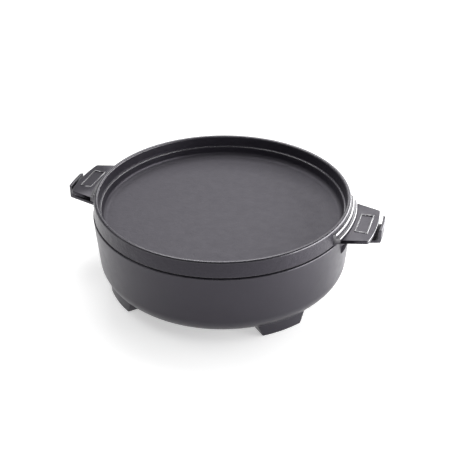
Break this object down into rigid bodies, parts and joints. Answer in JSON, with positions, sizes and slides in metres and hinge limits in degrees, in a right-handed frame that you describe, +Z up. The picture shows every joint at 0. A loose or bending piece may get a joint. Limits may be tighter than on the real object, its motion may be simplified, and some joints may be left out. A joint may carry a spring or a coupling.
{
  "type": "dutch oven",
  "caption": "Low round cast iron camp pot on short feet, with side handles and a shallow pan laid on it as its lift-off lid.",
  "frame": {"origin": "on the ground, under the middle of the pot", "axes": "+Z up, +X along the two pot handles, the row's right side; the camera of the picture stands on the -Y side"},
  "size_m": [0.406, 0.3248, 0.1173],
  "materials": {
    "pot_iron": "seasoned, satin",
    "lid_iron": "seasoned, satin"
  },
  "bodies": {
    "pot": {"pot_body": "pot_iron", "pot_handle_right": "pot_iron", "pot_handle_left": "pot_iron", "foot_front_right": "pot_iron", "foot_front_left": "pot_iron", "foot_back_right": "pot_iron", "foot_back_left": "pot_iron"},
    "lid": {"lid_pan": "lid_iron", "lid_handle_right": "lid_iron", "lid_handle_left": "lid_iron"}
  },
  "joints": [
    {"name": "lid_lift", "type": "slide", "parent": "pot", "child": "lid", "axis": [0, 0, 1], "range_m": [0, 0.06]}
  ]
}
